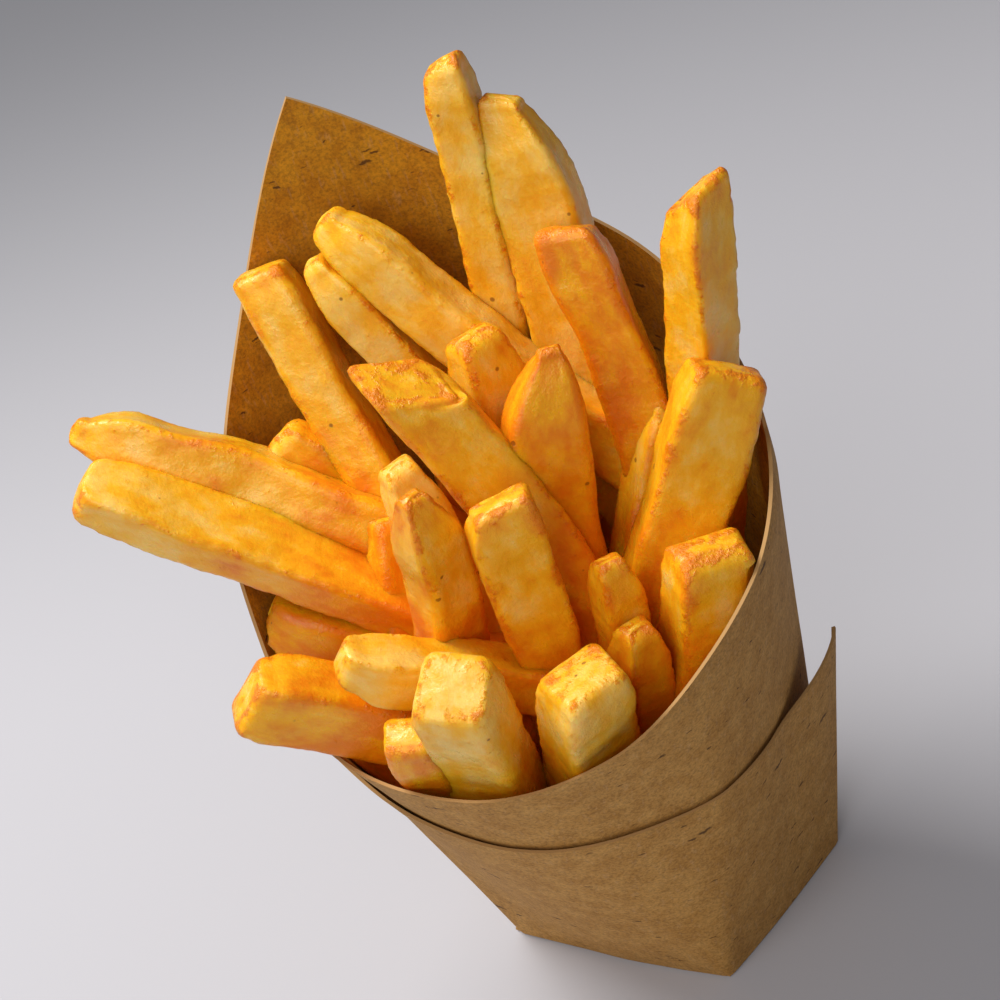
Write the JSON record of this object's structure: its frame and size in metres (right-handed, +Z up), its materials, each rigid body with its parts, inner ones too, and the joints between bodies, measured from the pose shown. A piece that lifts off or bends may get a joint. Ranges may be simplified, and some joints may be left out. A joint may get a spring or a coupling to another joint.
{
  "type": "french fries in a rolled card cone",
  "caption": "Serving of thick-cut french fries standing in a cone rolled from kraft card, with a tall pointed back, a low front and a folded base.",
  "frame": {"origin": "middle of the folded base, on the surface that it stands on", "axes": "+Z up, -Y towards the low front of the cone, +Y towards its tall back, +X towards the free ear of the card"},
  "size_m": [0.1054, 0.0843, 0.1501],
  "materials": {
    "kraft_card": "matte",
    "fried_potato": "satin"
  },
  "bodies": {
    "root": {"wrapper": "kraft_card", "fries": "fried_potato"}
  },
  "joints": []
}
